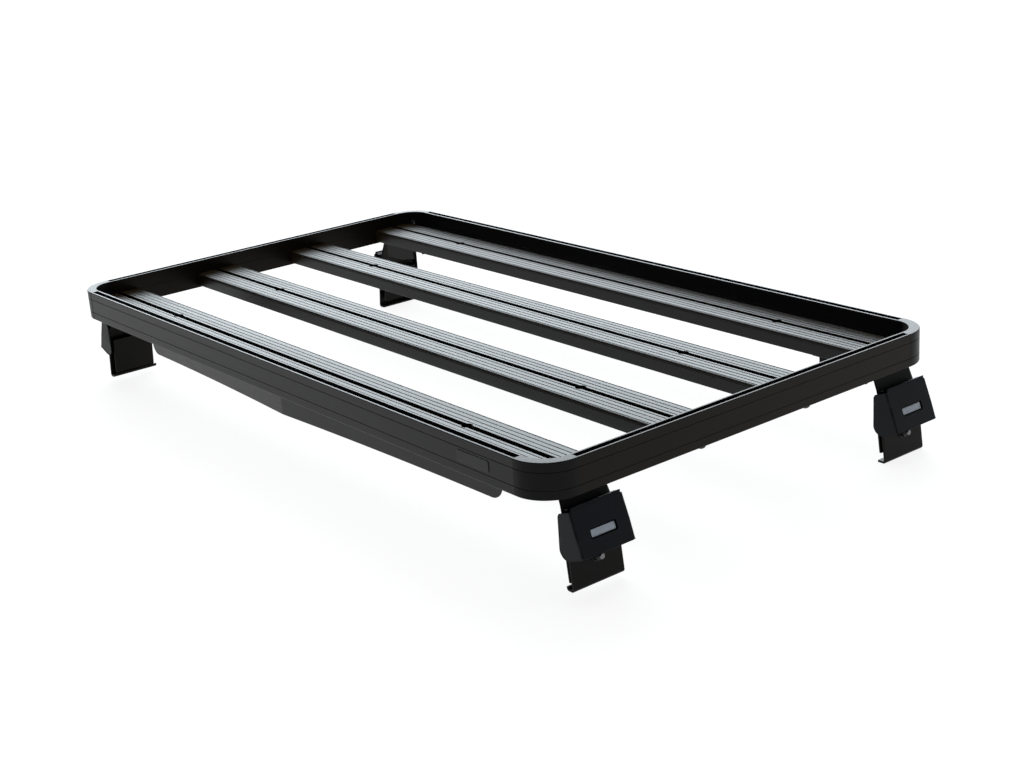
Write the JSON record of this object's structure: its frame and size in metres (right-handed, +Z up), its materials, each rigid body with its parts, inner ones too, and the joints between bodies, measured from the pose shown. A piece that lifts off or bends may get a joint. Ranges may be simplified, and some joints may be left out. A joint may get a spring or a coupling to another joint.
{
  "type": "flat platform roof rack",
  "caption": "Flat black platform roof rack of slotted slats in a rounded rail frame, with a low wind deflector and gutter-clamp feet.",
  "frame": {"origin": "under the middle of the rack, level with the rear feet's soles", "axes": "+X to the rack's right along the slats, +Y to its rear, +Z up"},
  "size_m": [1.351, 0.748, 0.186],
  "materials": {
    "rail_coat": "satin black powder coat",
    "casting_coat": "satin black powder coat",
    "slat_coat": "satin black powder coat",
    "deflector_coat": "satin black powder coat",
    "bracket_coat": "satin black powder coat",
    "leg_coat": "satin black powder coat",
    "clamp_coat": "satin black powder coat",
    "cover_coat": "satin black powder coat",
    "bolt_steel": "blackened steel",
    "stud_steel": "zinc-plated steel",
    "screw_steel": "darkened stainless steel",
    "plate_coat": "grey satin"
  },
  "bodies": {
    "root": {"front_rail": "rail_coat", "rear_rail": "rail_coat", "left_rail": "rail_coat", "right_rail": "rail_coat", "front_left_corner": "casting_coat", "front_right_corner": "casting_coat", "rear_left_corner": "casting_coat", "rear_right_corner": "casting_coat", "slat_1": "slat_coat", "slat_2": "slat_coat", "slat_3": "slat_coat", "slat_4": "slat_coat", "wind_deflector": "deflector_coat", "deflector_brackets": "bracket_coat", "deflector_bolts": "bolt_steel", "leg_bolts": "bolt_steel", "rail_bolts": "bolt_steel", "front_left_leg": "leg_coat", "front_right_leg": "leg_coat", "rear_left_leg": "leg_coat", "rear_right_leg": "leg_coat", "front_left_clamp": "clamp_coat", "front_right_clamp": "clamp_coat", "rear_left_clamp": "clamp_coat", "rear_right_clamp": "clamp_coat", "front_left_cover": "cover_coat", "front_right_cover": "cover_coat", "rear_left_cover": "cover_coat", "rear_right_cover": "cover_coat", "front_left_stud": "stud_steel", "front_right_stud": "stud_steel", "rear_left_stud": "stud_steel", "rear_right_stud": "stud_steel", "corner_screws": "screw_steel", "foot_badges": "plate_coat"}
  },
  "joints": []
}
